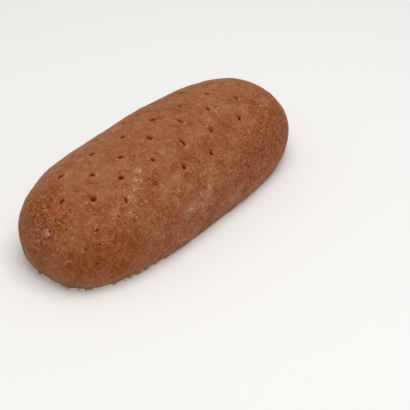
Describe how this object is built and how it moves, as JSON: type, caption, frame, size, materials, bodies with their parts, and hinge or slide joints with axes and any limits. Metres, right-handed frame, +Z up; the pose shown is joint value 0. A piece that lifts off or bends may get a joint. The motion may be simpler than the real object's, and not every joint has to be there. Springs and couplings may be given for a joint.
{
  "type": "sourdough loaf",
  "caption": "Long oval hearth loaf with a domed matte brown crust, staggered rows of docking pricks over its top and a flat base.",
  "frame": {"origin": "middle of the flat base, under the middle of the loaf's box", "axes": "+X along the loaf towards its slightly narrower end, +Y across it, +Z up from the base through the dome"},
  "size_m": [0.3, 0.1282, 0.086],
  "materials": {
    "crust": "matte"
  },
  "bodies": {
    "root": {"loaf": "crust"}
  },
  "joints": []
}
